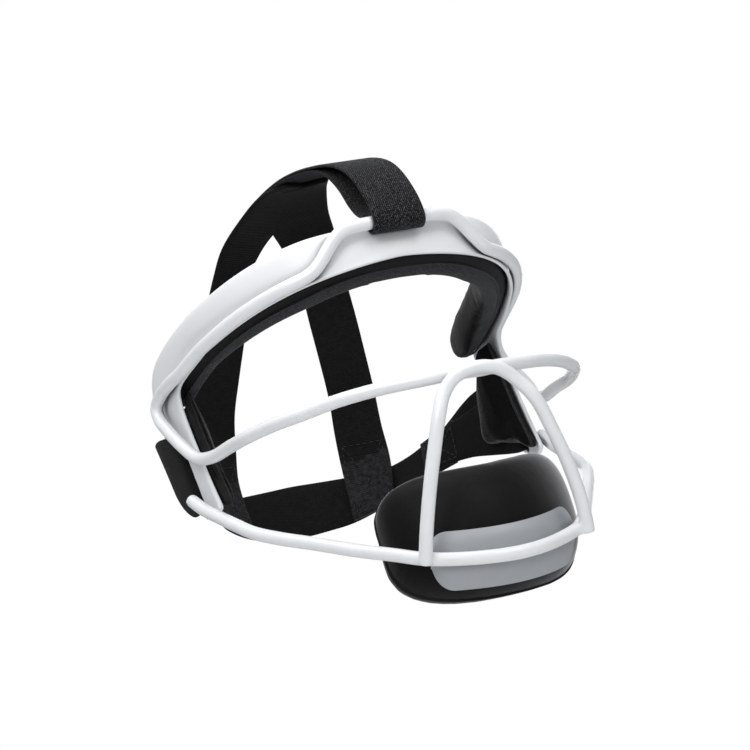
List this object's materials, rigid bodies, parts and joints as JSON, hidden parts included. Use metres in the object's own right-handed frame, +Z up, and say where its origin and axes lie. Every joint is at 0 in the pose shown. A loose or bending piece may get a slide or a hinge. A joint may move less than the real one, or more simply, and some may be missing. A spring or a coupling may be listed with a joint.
{
  "type": "softball fielder's face guard",
  "caption": "Wire face guard on a plastic headband with forehead, cheek and chin pads, held on the head by a top strap, a crown yoke and a back strap.",
  "frame": {"origin": "middle of the head opening, midway between the temples at the height of the headband's lower rim", "axes": "+X to the wearer's left, -Y where the face looks, +Z up as worn"},
  "size_m": [0.1828, 0.2442, 0.2397],
  "materials": {
    "shell": "semi-gloss white",
    "wire": "gloss white coating",
    "pad": "soft black foam with a dark grey lining",
    "plate": "semi-gloss pale grey",
    "elastic": "silver-grey flecked elastic",
    "webbing": "black ribbed webbing"
  },
  "bodies": {
    "root": {"headband_shell": "shell", "face_guard": "wire", "forehead_pad": "pad", "cheek_pad_left": "pad", "cheek_pad_right": "pad", "chin_pad": "pad", "chin_plate": "plate", "top_strap": "elastic", "crown_yoke": "webbing", "back_strap": "webbing", "side_tab_left": "webbing", "side_tab_right": "webbing"}
  },
  "joints": []
}
